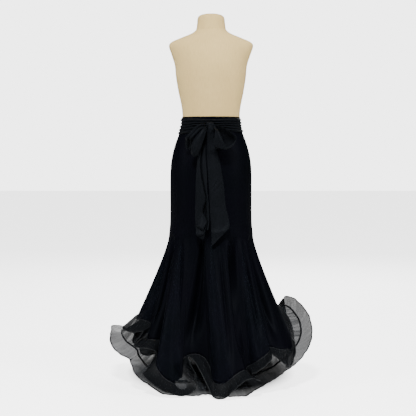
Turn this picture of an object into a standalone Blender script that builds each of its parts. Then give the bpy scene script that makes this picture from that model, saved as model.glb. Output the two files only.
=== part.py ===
"""Ballroom skirt with its tied sash, standing on a limbless dress form.

Metres, +Z up. The origin is on the floor, under the middle of the stand's base.
The bow is at the wearer's back, on the -Y side. Turns round the figure are in degrees,
0 at the bow (-Y) and 90 at +X.
"""
import math

import bpy
import numpy as np

for old in list(bpy.data.objects):
    bpy.data.objects.remove(old)

# Driving dimensions.
CLOTH = 0.0012            # wall of every cloth panel
GAP = 0.0003              # clearance at a seam and between touching pieces
HEM_SEAM_GAP = 0.0004     # clearance at the hem seams, where the braid turns away sharply
WAIST_TOP = 1.086         # top edge of the waistband
WAIST_SEAM = 1.046        # seam between waistband and gores
KNEE = 0.600              # where the gores stop being fitted and start to flare
KNEE_EASE = 0.060         # how far the skirt's flare takes to turn away from a straight fall
FLOUNCE_EASE = 0.260      # the same for the underskirt, which hangs straighter at its top
FLOOR_GAP = 0.003         # the lowest that cloth reaches above the floor
BRAID = 0.075             # width of the stiffened braid at the skirt's hem
UNDER_BRAID = 0.072       # width of the braid at the underskirt's hem
GORES = 8
GODET_TIP = 1.12          # where a godet's point lies, in drops (see skirt_point)
GODET_TIP_HALF = 0.16     # half of a godet's share of the turn at its tip
GODET_HALF = 9.0          # half of a godet's share of the turn at the hem
FLOUNCE_DROP = 1.30       # where the underskirt's flounce is sewn on, in drops
FLOUNCE_INSET = 0.0020    # how far inside the skirt's middle the flounce's top edge lies
SASH_FOLDS = 4
SASH_LIFT = 0.0011        # clearance under the sash, whose steps round the waist are longer
KNOT_CENTRE = (-0.004, -0.1144, 1.050)
KNOT_HALF = (0.017, 0.0125, 0.014)
LOOP_START = 0.0002       # where a loop's cloth starts, outside the knot
BASE_RADIUS = 0.170
BASE_THICKNESS = 0.018
POLE_RADIUS = 0.014
FORM_BOTTOM = 0.715

# Fitted part of the skirt: height, half width, half depth.
BODY = (
    (1.090, 0.1200, 0.0900),
    (1.046, 0.1225, 0.0930),
    (1.020, 0.1310, 0.0990),
    (0.980, 0.1460, 0.1090),
    (0.938, 0.1580, 0.1180),
    (0.900, 0.1650, 0.1235),
    (0.850, 0.1685, 0.1270),
    (0.800, 0.1690, 0.1285),
    (0.700, 0.1690, 0.1290),
    (0.640, 0.1705, 0.1300),
    (0.600, 0.1745, 0.1335),
    (0.560, 0.1790, 0.1375),
)

# Folds of the skirt's hem: name, turn at the knee, turn at the hem, radius and height of the
# seam between crepe and braid, lean of the braid out from straight down, its swing sideways.
HEM_FOLDS = (
    ("far left hollow", -170, -172, 0.270, 0.130, 45, 0),
    ("far left fold", -156, -158, 0.400, 0.052, 60, 0),
    ("far left second hollow", -143, -144, 0.280, 0.150, 45, 0),
    ("far left side fold", -130, -129, 0.368, 0.115, 66, 0),
    ("far left side hollow", -117, -114, 0.272, 0.235, 60, 0),
    ("left lifted hollow", -104, -100, 0.238, 0.325, 48, 0),
    ("left side fold", -92, -82, 0.312, 0.262, 60, 0),
    ("left side hollow", -82, -66, 0.290, 0.240, 45, 0),
    ("left lobe", -72, -53, 0.335, 0.200, 60, -6),
    ("left front hollow", -62, -48, 0.246, 0.176, 24, 0),
    ("left front lobe corner", -53, -36, 0.360, 0.100, 63, -10),
    ("left front lobe", -43, -26, 0.372, 0.060, 60, 0),
    ("left front lobe heel", -33, -19.5, 0.356, 0.054, 54, 2),
    ("middle hollow", -22, -15.5, 0.269, 0.128, 27, 0),
    ("arch crown", -15.5, -9.5, 0.302, 0.160, 46, -2),
    ("arch shoulder", -10.5, -3.5, 0.348, 0.140, 50, -14),
    ("arch foot", -6, 0.5, 0.383, 0.088, 52, -14),
    ("centre point", -1, 4, 0.400, 0.048, 56, -5),
    ("right of centre", 5, 8.5, 0.400, 0.048, 58, 0),
    ("right of centre band", 11, 14.5, 0.395, 0.065, 61, 8),
    ("right roll", 18, 20.5, 0.375, 0.090, 60, 14),
    ("right roll heel", 24, 21.5, 0.318, 0.110, 42, 6),
    ("right hollow", 30, 24.5, 0.282, 0.112, 28, 0),
    ("right fold near side", 38, 29.5, 0.325, 0.098, 46, -4),
    ("right fold", 46, 36, 0.345, 0.104, 54, 0),
    ("right fold far side", 53, 43, 0.328, 0.134, 48, 4),
    ("right front hollow", 60, 47.5, 0.286, 0.168, 36, 0),
    ("right lobe near side", 67, 52, 0.332, 0.158, 54, -24),
    ("right lobe", 74, 59, 0.366, 0.150, 54, -30),
    ("right lobe far side", 82, 69, 0.340, 0.182, 34, -8),
    ("right side hollow", 91, 84, 0.264, 0.275, 42, 0),
    ("right lifted hollow", 101, 101, 0.240, 0.345, 48, 0),
    ("far right side hollow", 111, 111, 0.262, 0.284, 60, 0),
    ("far right side fold", 121, 121, 0.322, 0.190, 62, 0),
    ("far right side dip", 132, 131.5, 0.285, 0.150, 48, 0),
    ("far right fold", 143, 144, 0.380, 0.080, 62, 0),
    ("far right hollow", 155, 156, 0.275, 0.130, 45, 0),
    ("far fold", 167, 169, 0.396, 0.052, 60, 0),
    ("far fold end", 178, 179, 0.380, 0.060, 58, 0),
)

# Folds of the underskirt's hem, with the same columns.
UNDER_FOLDS = (
    ("far left hollow", -170, -172, 0.225, 0.105, 48, 0),
    ("far left fold", -156, -158, 0.335, 0.050, 60, 0),
    ("far left second hollow", -143, -144, 0.235, 0.120, 46, 0),
    ("far left side fold", -130, -128, 0.315, 0.080, 60, 0),
    ("far left side hollow", -117, -112, 0.265, 0.160, 72, 0),
    ("left disc top", -105, -103, 0.335, 0.205, 94, 0),
    ("left disc", -96, -92, 0.352, 0.178, 86, 0),
    ("left disc foot", -87, -79, 0.338, 0.148, 70, 0),
    ("left side dip", -79, -68, 0.298, 0.124, 58, 0),
    ("left lobe", -71, -60, 0.324, 0.084, 64, 0),
    ("left front hollow", -61, -46, 0.220, 0.090, 46, 0),
    ("left front lobe", -44, -29, 0.340, 0.048, 61, 0),
    ("middle hollow", -27, -18, 0.218, 0.085, 42, 0),
    ("arch inside", -12, -5, 0.285, 0.068, 50, 0),
    ("centre", 0, 4, 0.332, 0.045, 57, 0),
    ("right of centre", 12, 14, 0.328, 0.048, 57, 0),
    ("right hollow", 28, 24, 0.236, 0.075, 42, 0),
    ("right fold", 46, 36, 0.285, 0.068, 55, 0),
    ("right front hollow", 60, 49, 0.232, 0.092, 46, 0),
    ("right lobe", 74, 61, 0.312, 0.085, 60, 0),
    ("right disc foot", 86, 76, 0.350, 0.138, 60, -24),
    ("right disc", 96, 92, 0.354, 0.195, 84, 4),
    ("right disc top", 105, 104, 0.328, 0.266, 116, 8),
    ("far right side hollow", 113, 110, 0.245, 0.196, 70, 0),
    ("far right side fold", 121, 121, 0.280, 0.112, 60, 0),
    ("far right side dip", 132, 131, 0.230, 0.115, 46, 0),
    ("far right fold", 143, 144, 0.315, 0.065, 60, 0),
    ("far right hollow", 155, 156, 0.230, 0.105, 48, 0),
    ("far fold", 167, 169, 0.330, 0.048, 58, 0),
    ("far fold end", 178, 179, 0.315, 0.052, 58, 0),
)

# Sash wrap: turn, top edge, bottom edge, depth of its folds.
SASH_WRAP = (
    (-180, 1.082, 1.018, 0.0035),
    (-90, 1.081, 1.014, 0.0040),
    (-45, 1.079, 1.018, 0.0045),
    (-15, 1.073, 1.028, 0.0060),
    (0, 1.068, 1.035, 0.0065),
    (15, 1.073, 1.032, 0.0060),
    (45, 1.079, 1.026, 0.0045),
    (90, 1.081, 1.023, 0.0040),
    (180, 1.082, 1.018, 0.0035),
)

# Bow loops: name, then x and z of the fold's first corner, middle and second corner, distance
# out from the knot's middle at the knot and at the fold, gap between the two layers, how far
# the edges are cupped back, how far the second corner stands out past the first, and how far
# the loop arches up on its way.
BOW_LOOPS = (
    ("sash_loop_left_upper", -0.104, 1.004, -0.108, 0.976, -0.086, 0.950,
     -0.004, 0.003, 0.014, 0.003, -0.004, 0.022),
    ("sash_loop_left_lower", -0.083, 0.968, -0.066, 0.922, -0.040, 0.942,
     0.0072, 0.035, 0.022, 0.004, 0.000, 0.010),
    ("sash_loop_right", 0.010, 0.966, 0.063, 0.953, 0.104, 0.996,
     0.0062, 0.024, 0.026, 0.006, 0.000, 0.024),
)

# Right tail: left edge x and z, right edge x and z, distance out from the middle (-Y).
RIGHT_TAIL = (
    (-0.0045, 1.0356, 0.0040, 1.0358, 0.1132),
    (-0.0120, 0.9900, 0.0210, 0.9900, 0.1160),
    (-0.0165, 0.9270, 0.0320, 0.9270, 0.1265),
    (-0.0105, 0.8260, 0.0480, 0.8320, 0.1365),
    (-0.0045, 0.7070, 0.0600, 0.7200, 0.1395),
    (0.0010, 0.6200, 0.0710, 0.6560, 0.1480),
    (0.0036, 0.5580, 0.0750, 0.6220, 0.1620),
)

# Left tail: height, left edge, middle fold and right edge x, distance out from the middle (-Y).
LEFT_TAIL = (
    (1.0357, -0.0124, -0.0087, -0.0060, 0.1150),
    (0.9900, -0.0385, -0.0235, -0.0180, 0.1192),
    (0.9500, -0.0470, -0.0280, -0.0205, 0.1275),
    (0.8260, -0.0610, -0.0310, -0.0175, 0.1450),
    (0.7050, -0.0650, -0.0320, -0.0145, 0.1490),
    (0.6000, -0.0650, -0.0280, -0.0110, 0.1610),
)
# Across the left tail: share of the way, share of the width from left edge to fold, of the
# width from fold to right edge, distance back, and how far the slanted hem is lifted there.
LEFT_TAIL_FOLD = (
    (0.00, 0.00, 0.00, 0.0000, 0.004),
    (0.25, 0.45, 0.00, -0.0015, 0.022),
    (0.45, 0.88, 0.00, 0.0000, 0.046),
    (0.54, 1.00, 0.00, 0.0030, 0.054),
    (0.63, 0.90, 0.00, 0.0065, 0.044),
    (0.72, 0.91, 0.15, 0.0092, 0.026),
    (1.00, 1.00, 1.00, 0.0105, 0.000),
)

# Dress form: height, half width, half depth, middle's place in Y.
FORM = (
    (0.715, 0.1480, 0.1100, 0.000),
    (0.735, 0.1560, 0.1170, 0.000),
    (0.800, 0.1640, 0.1235, 0.000),
    (0.860, 0.1630, 0.1215, 0.000),
    (0.920, 0.1540, 0.1145, 0.000),
    (0.970, 0.1410, 0.1045, 0.000),
    (1.020, 0.1285, 0.0965, 0.000),
    (1.046, 0.1207, 0.0912, 0.000),
    (1.066, 0.1190, 0.0893, 0.000),
    (1.088, 0.1182, 0.0883, 0.000),
    (1.130, 0.1225, 0.0920, 0.001),
    (1.190, 0.1350, 0.1030, 0.004),
    (1.250, 0.1450, 0.1130, 0.007),
    (1.300, 0.1500, 0.1130, 0.006),
    (1.345, 0.1640, 0.0990, 0.001),
    (1.378, 0.1740, 0.0830, -0.004),
    (1.395, 0.1620, 0.0740, -0.006),
    (1.412, 0.1230, 0.0680, -0.007),
    (1.430, 0.0800, 0.0610, -0.006),
    (1.446, 0.0625, 0.0560, -0.003),
    (1.470, 0.0580, 0.0545, 0.000),
    (1.490, 0.0560, 0.0530, 0.001),
    (1.502, 0.0500, 0.0470, 0.001),
    (1.509, 0.0330, 0.0310, 0.001),
)
FORM_TOP = 1.5115
FORM_AROUND = 28


def curve_through(knots, values, at):
    """Smooth curve through a table: cubic pieces whose slope at a row follows its neighbours."""
    knots = np.asarray(knots, float)
    values = np.asarray(values, float)
    at = np.asarray(at, float)
    slope = np.gradient(values, knots)
    i = np.clip(np.searchsorted(knots, at, side="right") - 1, 0, len(knots) - 2)
    span = knots[i + 1] - knots[i]
    t = (at - knots[i]) / span
    start = values[i] * (1 + 2 * t) * (1 - t) ** 2 + values[i + 1] * t * t * (3 - 2 * t)
    return start + span * (slope[i] * t * (1 - t) ** 2 - slope[i + 1] * t * t * (1 - t))


def fold_columns(folds):
    """The number columns of a fold table, carried on by five rows past each end of the turn."""
    rows = np.array([row[1:] for row in folds], float)
    before = rows[-5:].copy()
    after = rows[:5].copy()
    before[:, :2] -= 360
    after[:, :2] += 360
    return np.vstack((before, rows, after)).T


HEM_COLUMNS = fold_columns(HEM_FOLDS)
UNDER_COLUMNS = fold_columns(UNDER_FOLDS)
BODY_COLUMNS = np.array(sorted(BODY)).T
SASH_COLUMNS = np.array(SASH_WRAP, float).T


def body_ring(turn, height):
    """Point of the fitted skirt: an oval at that height, its turn counted from the bow."""
    wide = curve_through(BODY_COLUMNS[0], BODY_COLUMNS[1], height)
    deep = curve_through(BODY_COLUMNS[0], BODY_COLUMNS[2], height)
    angle = np.radians(turn)
    return np.stack((wide * np.sin(angle), -deep * np.cos(angle), height + 0 * turn), axis=-1)


def unit(vectors):
    """Vectors at length one."""
    return vectors / np.linalg.norm(vectors, axis=-1, keepdims=True)


def hem_seam(columns, turn):
    """Where a hem's seam lies at that turn."""
    angle, radius, height = (curve_through(columns[0], c, turn) for c in columns[1:4])
    out = np.radians(angle)
    return np.stack((radius * np.sin(out), -radius * np.cos(out), height), axis=-1)


def flare(start, end, share, ease):
    """Fall from start that leaves straight down and turns away to reach end."""
    t = share[..., None]
    return start + 2 * t * (1 - t) * np.array((0.0, 0.0, -ease)) + t * t * (end - start)


def braid_edge(columns, turn, width):
    """Edge of the braid, its width away from the hem's seam along the table's lean and swing.
    It bends up where it meets the floor."""
    angle, lean, swing = (np.radians(curve_through(columns[0], columns[c], turn)) for c in (1, 4, 5))
    out = angle + swing
    away = np.stack((np.sin(lean) * np.sin(out), -np.sin(lean) * np.cos(out), -np.cos(lean)), axis=-1)
    edge = hem_seam(columns, turn) + width * away
    edge[..., 2] = np.maximum(edge[..., 2], FLOOR_GAP + CLOTH)
    return edge


def skirt_point(turn, drop):
    """Middle of the skirt's cloth. Drop 0 is the waist seam, 1 the knee, 2 the hem seam,
    3 the edge of the braid; turn is counted at the knee."""
    turn, drop = np.broadcast_arrays(np.asarray(turn, float), np.asarray(drop, float))
    fitted = body_ring(turn, WAIST_SEAM + (KNEE - WAIST_SEAM) * np.minimum(drop, 1))
    knee = body_ring(turn, np.full(turn.shape, KNEE))
    seam = hem_seam(HEM_COLUMNS, turn)
    edge = braid_edge(HEM_COLUMNS, turn, BRAID)
    flared = flare(knee, seam, np.clip(drop - 1, 0, 1), KNEE_EASE)
    braid = seam + (edge - seam) * np.maximum(drop - 2, 0)[..., None]
    chosen = np.where((drop <= 1)[..., None], fitted, flared)
    return np.where((drop > 2)[..., None], braid, chosen)


def under_point(turn, drop):
    """Middle of the underskirt's cloth. Drop 0 is its seam inside the skirt, 1 its hem seam,
    2 the edge of its braid."""
    turn, drop = np.broadcast_arrays(np.asarray(turn, float), np.asarray(drop, float))
    sewn_on = np.full(turn.shape, FLOUNCE_DROP)
    top = skirt_point(turn, sewn_on) - FLOUNCE_INSET * outward(skirt_point, turn, sewn_on)
    seam = hem_seam(UNDER_COLUMNS, turn)
    edge = braid_edge(UNDER_COLUMNS, turn, UNDER_BRAID)
    flared = flare(top, seam, np.minimum(drop, 1), FLOUNCE_EASE)
    braid = seam + (edge - seam) * np.maximum(drop - 1, 0)[..., None]
    return np.where((drop > 1)[..., None], braid, flared)


def outward(surface, across, down, side_step=0.05, fall_step=0.01):
    """Unit normal of a surface: its fall crossed with its step across. The fall is halfway
    between the cloth's way above and below the point, so a seam's two sides share a normal."""
    middle = surface(across, down)
    side = surface(across + side_step, down) - surface(across - side_step, down)
    below = unit(surface(across, down + fall_step) - middle)
    above = unit(middle - surface(across, down - fall_step))
    return unit(np.cross(below + above, side))


def material(name, colour, roughness, metallic=0.0):
    """Principled material of one cloth or hard part."""
    made = bpy.data.materials.new(name)
    made.use_nodes = True
    shader = made.node_tree.nodes["Principled BSDF"]
    shader.inputs["Base Color"].default_value = (*colour, 1.0)
    shader.inputs["Roughness"].default_value = roughness
    shader.inputs["Metallic"].default_value = metallic
    made.diffuse_color = (*colour, 1.0)
    return made


CREPE = material("navy_black_crepe", (0.006, 0.007, 0.012), 0.75)
GODET_CREPE = material("navy_black_godet_crepe", (0.008, 0.010, 0.017), 0.72)
GEORGETTE = material("black_georgette", (0.012, 0.014, 0.019), 0.85)
SHEER = material("sheer_underskirt_net", (0.020, 0.022, 0.026), 0.60)
NET_BRAID = material("stiffened_net_braid", (0.045, 0.050, 0.056), 0.45)
LINEN = material("cream_linen_cover", (0.62, 0.52, 0.37), 0.85)
STEEL = material("satin_steel", (0.55, 0.55, 0.55), 0.35, 1.0)


def add_object(name, points, faces, finish):
    """New object with this mesh and material, shaded smooth but for its sharp edges."""
    mesh = bpy.data.meshes.new(name)
    mesh.from_pydata([tuple(p) for p in points], [], faces)
    mesh.materials.append(finish)
    mesh.shade_smooth()
    mesh.set_sharp_from_angle(angle=math.radians(40))
    made = bpy.data.objects.new(name, mesh)
    bpy.context.collection.objects.link(made)
    return made


def wall(name, outer, inner, finish):
    """Closed wall between two grids of points, joined along its four edges. The edges' triangles
    slant the same way on both sides of a seam, so that neighbours keep their gap."""
    rows, columns = outer.shape[:2]
    count = rows * columns

    def at(row, column, side=0):
        return side * count + row * columns + column

    faces = []
    for row in range(rows - 1):
        for column in range(columns - 1):
            a, b = at(row, column), at(row + 1, column)
            c, d = at(row + 1, column + 1), at(row, column + 1)
            faces += [(a, b, c), (a, c, d)]
            faces += [(a + count, c + count, b + count), (a + count, d + count, c + count)]
    rim = [(0, column) for column in range(columns)]
    rim += [(row, columns - 1) for row in range(1, rows)]
    rim += [(rows - 1, column) for column in range(columns - 2, -1, -1)]
    rim += [(row, 0) for row in range(rows - 2, 0, -1)]
    for here, after in zip(rim, rim[1:] + rim[:1]):
        a, b, c, d = at(*here), at(*after), at(*after, 1), at(*here, 1)
        faces += [(a, b, c), (a, c, d)] if here < after else [(a, b, d), (b, c, d)]
    points = np.concatenate((outer.reshape(-1, 3), inner.reshape(-1, 3)))
    return add_object(name, points, faces, finish)


def cloth_panel(name, surface, across, down, finish, side_step=0.05, fall_step=0.01):
    """Cloth wall over a grid of across and down values, half its thickness to each side."""
    across, down = np.broadcast_arrays(across, down)
    middle = surface(across, down)
    half = 0.5 * CLOTH * outward(surface, across, down, side_step, fall_step)
    return wall(name, middle + half, middle - half, finish)


def seam_line(surface, across, down, shift):
    """Across values moved sideways along the surface by a distance, for one edge of a panel."""
    step = surface(across + 0.05, down) - surface(across - 0.05, down)
    return across + shift * 0.1 / np.linalg.norm(step, axis=-1)


def edge_drops(surface, across, down, shift):
    """Down values moved square to a panel's top or bottom edge by a distance."""
    step = surface(across, down + 0.005) - surface(across, down - 0.005)
    side = unit(surface(across + 0.05, down) - surface(across - 0.05, down))
    return down + shift * 0.01 / np.linalg.norm(np.cross(step, side), axis=-1)


def godet_half(drop):
    """Half of a godet's share of the turn at this drop: none above its tip."""
    widening = GODET_TIP_HALF + (GODET_HALF - GODET_TIP_HALF) * (drop - GODET_TIP) / (2 - GODET_TIP)
    return np.where(drop < GODET_TIP - 1e-4, 0, widening)


GORE_CELLS = 10
GODET_CELLS = 7
SEAM_TURNS = [-180 + 360 / GORES * k for k in range(GORES)]


def gore_turns(k, drop):
    """Turns of one gore's columns at each drop, from its left seam to its right seam."""
    left = SEAM_TURNS[k] + godet_half(drop)
    right = SEAM_TURNS[k] + 360 / GORES - godet_half(drop)
    left = seam_line(skirt_point, left, drop, GAP / 2)
    right = seam_line(skirt_point, right, drop, -GAP / 2)
    share = np.linspace(0, 1, GORE_CELLS + 1)
    return left[:, None] + (right - left)[:, None] * share


def godet_turns(k, drop):
    """Turns of one godet's columns at each drop."""
    left = seam_line(skirt_point, SEAM_TURNS[k] - godet_half(drop), drop, GAP / 2)
    right = seam_line(skirt_point, SEAM_TURNS[k] + godet_half(drop), drop, -GAP / 2)
    share = np.linspace(0, 1, GODET_CELLS + 1)
    return left[:, None] + (right - left)[:, None] * share


def panel_rows(across, drops, top_shift, bottom_shift, surface):
    """Grid of drops whose first and last rows stop short of their seams."""
    grid = np.repeat(np.asarray(drops, float)[:, None], across.shape[1], axis=1)
    grid[0] = edge_drops(surface, across[0], grid[0] + 1e-6, top_shift)
    grid[-1] = edge_drops(surface, across[-1], grid[-1] - 1e-6, bottom_shift)
    return grid


def make_gores():
    """Eight gores from the waist seam to the hem seam."""
    drops = np.array((0.0, 0.09, 0.24, 0.5, 0.97, GODET_TIP, 1.30, 1.50, 1.70, 1.86, 2.0))
    for k, place in enumerate(GORE_PLACES):
        across = gore_turns(k, drops)
        down = panel_rows(across, drops, GAP / 2, -HEM_SEAM_GAP / 2, skirt_point)
        cloth_panel("gore_" + place, skirt_point, across, down, CREPE)


def make_godets():
    """Eight godets between the gores, from their tips below the knee to the hem seam."""
    drops = np.array((GODET_TIP, 1.30, 1.50, 1.70, 1.86, 2.0))
    for k, place in enumerate(SEAM_PLACES):
        across = godet_turns(k, drops)
        down = panel_rows(across, drops, 0.0, -HEM_SEAM_GAP / 2, skirt_point)
        cloth_panel("godet_" + place, skirt_point, across, down, GODET_CREPE)


GORE_PLACES = ("far_left_inner", "far_left_outer", "near_left_outer", "near_left_inner",
               "near_right_inner", "near_right_outer", "far_right_outer", "far_right_inner")
SEAM_PLACES = ("far_centre", "far_left", "left", "near_left", "near_centre", "near_right",
               "right", "far_right")


def hem_turns(k):
    """Turns of a length of braid from the middle of the gore before seam k to the one after."""
    step = 360 / GORES
    half_gore = np.linspace(0, 0.5, GORE_CELLS // 2 + 1) * (step - 2 * GODET_HALF)
    before = SEAM_TURNS[k] - GODET_HALF - half_gore[::-1]
    over = SEAM_TURNS[k] + np.linspace(-1, 1, GODET_CELLS + 1) * GODET_HALF
    after = SEAM_TURNS[k] + GODET_HALF + half_gore
    return np.concatenate((before, over[1:-1], after))


def trimmed(turns, surface, drop):
    """Turns with both ends moved in by half the seam gap."""
    turns = turns.copy()
    ends = seam_line(surface, turns[[0, -1]], np.full(2, drop), GAP / 2)
    turns[0] = ends[0]
    turns[-1] = 2 * turns[-1] - ends[1]
    return turns


def make_hem_braid():
    """Eight lengths of stiffened braid below the hem seam."""
    for k, place in enumerate(SEAM_PLACES):
        turns = trimmed(hem_turns(k), skirt_point, 2.5)
        across = np.repeat(turns[None, :], 2, axis=0)
        down = panel_rows(across, (2.0, 3.0), HEM_SEAM_GAP / 2, 0.0, skirt_point)
        cloth_panel("hem_braid_" + place, skirt_point, across, down, NET_BRAID)


QUARTERS = ("far", "left", "near", "right")


def quarter_turns(q):
    """Turns of a quarter of the underskirt, at the same places as the skirt's own columns."""
    seams = [k for k in range(GORES) if k // 2 == q]
    turns = np.concatenate([hem_turns(k) for k in seams])
    return np.unique(np.round(turns, 6))


def make_underskirt():
    """Flounce sewn inside the skirt in four quarters, each with its own length of braid."""
    for q, place in enumerate(QUARTERS):
        turns = trimmed(quarter_turns(q), under_point, 1.0)
        drops = np.array((0.0, 0.40, 0.72, 1.0))
        across = np.repeat(turns[None, :], len(drops), axis=0)
        down = panel_rows(across, drops, 0.0, -HEM_SEAM_GAP / 2, under_point)
        cloth_panel("underskirt_" + place, under_point, across, down, SHEER)
        across = np.repeat(turns[None, :], 2, axis=0)
        down = panel_rows(across, (1.0, 2.0), HEM_SEAM_GAP / 2, 0.0, under_point)
        cloth_panel("underskirt_braid_" + place, under_point, across, down, NET_BRAID)


def ring_out(turn, height, out):
    """Point of the fitted oval moved out by a distance along the oval's own normal."""
    point = body_ring(turn, height)
    normal = outward(body_ring_down, turn, WAIST_TOP - height)
    return point + out[..., None] * normal


def body_ring_down(turn, below):
    """The fitted oval, by its distance below the top of the waistband."""
    return body_ring(turn, WAIST_TOP - np.asarray(below, float))


def make_waistband():
    """Waistband in two halves, which close at both sides of the figure."""
    for name, first in (("waistband_near", -90), ("waistband_far", 90)):
        turns = first + np.linspace(0.08, 179.92, 21)
        across = np.repeat(turns[None, :], 3, axis=0)
        below = np.linspace(0, WAIST_TOP - WAIST_SEAM - GAP, 3)[:, None]
        cloth_panel(name, body_ring_down, across, below + 0 * across, CREPE)


def make_sash_wrap():
    """Sash round the waist in two halves: plain inside, soft level folds outside."""
    for name, first in (("sash_wrap_left", -180), ("sash_wrap_right", 0)):
        turns = first + np.linspace(0.08, 179.92, 21)
        share = np.linspace(0, 1, 2 * SASH_FOLDS + 1)
        top, bottom, depth = (curve_through(SASH_COLUMNS[0], c, turns) for c in SASH_COLUMNS[1:])
        height = top + (bottom - top) * share[:, None]
        turn = np.repeat(turns[None, :], len(share), axis=0)
        lift = CLOTH / 2 + SASH_LIFT + 0 * turn
        crest = np.sin(math.pi * SASH_FOLDS * share) ** 2
        outer_lift = lift + CLOTH + depth * crest[:, None]
        wall(name, ring_out(turn, height, outer_lift), ring_out(turn, height, lift), GEORGETTE)


def make_knot():
    """Knot of the sash: a small rounded pad."""
    rings, around = 8, 14
    points = [(0, 0, -1)]
    for i in range(1, rings):
        polar = math.pi * i / rings
        for j in range(around):
            angle = 2 * math.pi * j / around
            points.append((math.sin(polar) * math.cos(angle),
                           math.sin(polar) * math.sin(angle), -math.cos(polar)))
    points.append((0, 0, 1))
    faces = []
    for j in range(around):
        after = (j + 1) % around
        faces.append((0, 1 + after, 1 + j))
        last = 1 + (rings - 2) * around
        faces.append((len(points) - 1, last + j, last + after))
        for i in range(rings - 2):
            low = 1 + i * around
            faces.append((low + j, low + after, low + around + after, low + around + j))
    points = np.array(points) * KNOT_HALF + KNOT_CENTRE
    add_object("sash_knot", points, faces, GEORGETTE)


def loop_surface(x0, z0, x1, z1, x2, z2, out_knot, out_fold, opening, cup, stand, arch):
    """A loop of the bow: the strip runs out from the knot to a fold that curves through three
    places, turns round there and comes back behind itself to the knot."""
    knot_x, knot_y, knot_z = KNOT_CENTRE

    def surface(across, down):
        corners = (across * (across - 1) / 2, 1 - across ** 2, across * (across + 1) / 2)
        x = corners[0] * x0 + corners[1] * x1 + corners[2] * x2 - knot_x
        z = corners[0] * z0 + corners[1] * z1 + corners[2] * z2 - knot_z
        reach = np.hypot(x, z)
        way = math.pi * down
        layer = (out_knot + 0.16 * opening * np.cos(way)) / KNOT_HALF[1]
        start = np.sqrt(1 - layer ** 2) / np.hypot(x / reach / KNOT_HALF[0],
                                                   z / reach / KNOT_HALF[2]) + LOOP_START
        fill = np.abs(np.sin(way)) ** 0.8
        along = (start + (reach - start) * fill) / reach
        depth = out_knot + (out_fold - out_knot + stand * across - cup * across ** 2) * fill
        depth = depth + opening * np.cos(way) * (0.16 + 0.34 * fill)
        rise = arch * np.abs(x) / reach * np.sin(math.pi * np.minimum(fill, 1))
        return np.stack((knot_x + x * along, knot_y - depth, knot_z + z * along + rise), axis=-1)
    return surface


def make_loops():
    """Three loops of the bow."""
    down = np.concatenate(([0.0005], np.linspace(0.06, 0.42, 5), [0.46, 0.50, 0.54],
                           np.linspace(0.58, 0.94, 5), [0.9995]))[:, None]
    across = np.linspace(-1, 1, 7)[None, :]
    for name, *sizes in BOW_LOOPS:
        cloth_panel(name, loop_surface(*sizes), across, down, GEORGETTE, 0.02, 0.0004)


def right_tail_point(across, down):
    """Right tail: straight across between its two edges, with two shallow long folds."""
    knots = np.linspace(0, 1, len(RIGHT_TAIL))
    left_x, left_z, right_x, right_z, out = (curve_through(knots, c, down)
                                             for c in np.array(RIGHT_TAIL).T)
    x = left_x + (right_x - left_x) * across
    z = left_z + (right_z - left_z) * across
    curl = 0.0022 * np.sin(2 * math.pi * (1.2 * across + 0.15)) * np.minimum(1, 4 * down)
    return np.stack((x, -(out + curl) + 0.25 * np.maximum(x, 0) ** 2 * 8, z), axis=-1)


def left_tail_point(across, down):
    """Left tail: one long fold laid over a narrower one, its slanted hem stepping with them."""
    rows = np.array(LEFT_TAIL).T
    knots = np.linspace(0, 1, len(LEFT_TAIL))
    height, left_x, fold_x, right_x, out = (curve_through(knots, c, down) for c in rows)
    share = np.array(LEFT_TAIL_FOLD).T[0]
    to_fold, past_fold, back, lift = (curve_through(share, c, across)
                                      for c in np.array(LEFT_TAIL_FOLD).T[1:])
    x = left_x + (fold_x - left_x) * to_fold + (right_x - fold_x) * past_fold
    z = height + lift * down ** 3
    return np.stack((x, -out + back * np.minimum(1, 0.4 + 2.5 * down), z), axis=-1)


def make_tails():
    """Two tails of the sash."""
    down = np.linspace(0, 1, 11)[:, None]
    across = np.linspace(0, 1, 7)[None, :]
    cloth_panel("sash_tail_right", right_tail_point, across, down, GEORGETTE, 0.01, 0.01)
    across = np.linspace(0, 1, 13)[None, :]
    cloth_panel("sash_tail_left", left_tail_point, across, down, GEORGETTE, 0.004, 0.01)


def stacked(name, rings, finish):
    """Closed solid through rings of points from bottom to top, with flat ends."""
    around = len(rings[0])
    points = [p for ring in rings for p in ring]
    faces = [tuple(range(around - 1, -1, -1))]
    for i in range(len(rings) - 1):
        for j in range(around):
            after = (j + 1) % around
            low = i * around
            faces.append((low + j, low + after, low + around + after, low + around + j))
    top = (len(rings) - 1) * around
    faces.append(tuple(range(top, top + around)))
    return add_object(name, points, faces, finish)


def make_form():
    """Padded torso: ovals stacked from the hips to the top of the neck."""
    rings = []
    for height, wide, deep, middle in FORM + ((FORM_TOP, 0.012, 0.011, 0.001),):
        angle = np.linspace(0, 2 * math.pi, FORM_AROUND, endpoint=False)
        rings.append(np.stack((wide * np.cos(angle), middle + deep * np.sin(angle),
                               np.full(FORM_AROUND, height)), axis=-1))
    stacked("form_torso", rings, LINEN)


def make_stand():
    """Pole under the torso and the round base that stands on the floor."""
    turned("form_pole", ((POLE_RADIUS, BASE_THICKNESS + GAP), (POLE_RADIUS, FORM_BOTTOM - GAP)),
           20, STEEL)
    edge = 0.006
    turned("form_base", ((BASE_RADIUS, 0.0), (BASE_RADIUS, BASE_THICKNESS - edge),
                         (BASE_RADIUS - 0.3 * edge, BASE_THICKNESS - 0.3 * edge),
                         (BASE_RADIUS - edge, BASE_THICKNESS)), 40, STEEL)


def turned(name, profile, around, finish):
    """Round solid from a profile of radius and height, bottom to top."""
    angle = np.linspace(0, 2 * math.pi, around, endpoint=False)
    rings = [np.stack((r * np.cos(angle), r * np.sin(angle), np.full(around, z)), axis=-1)
             for r, z in profile]
    stacked(name, rings, finish)


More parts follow.
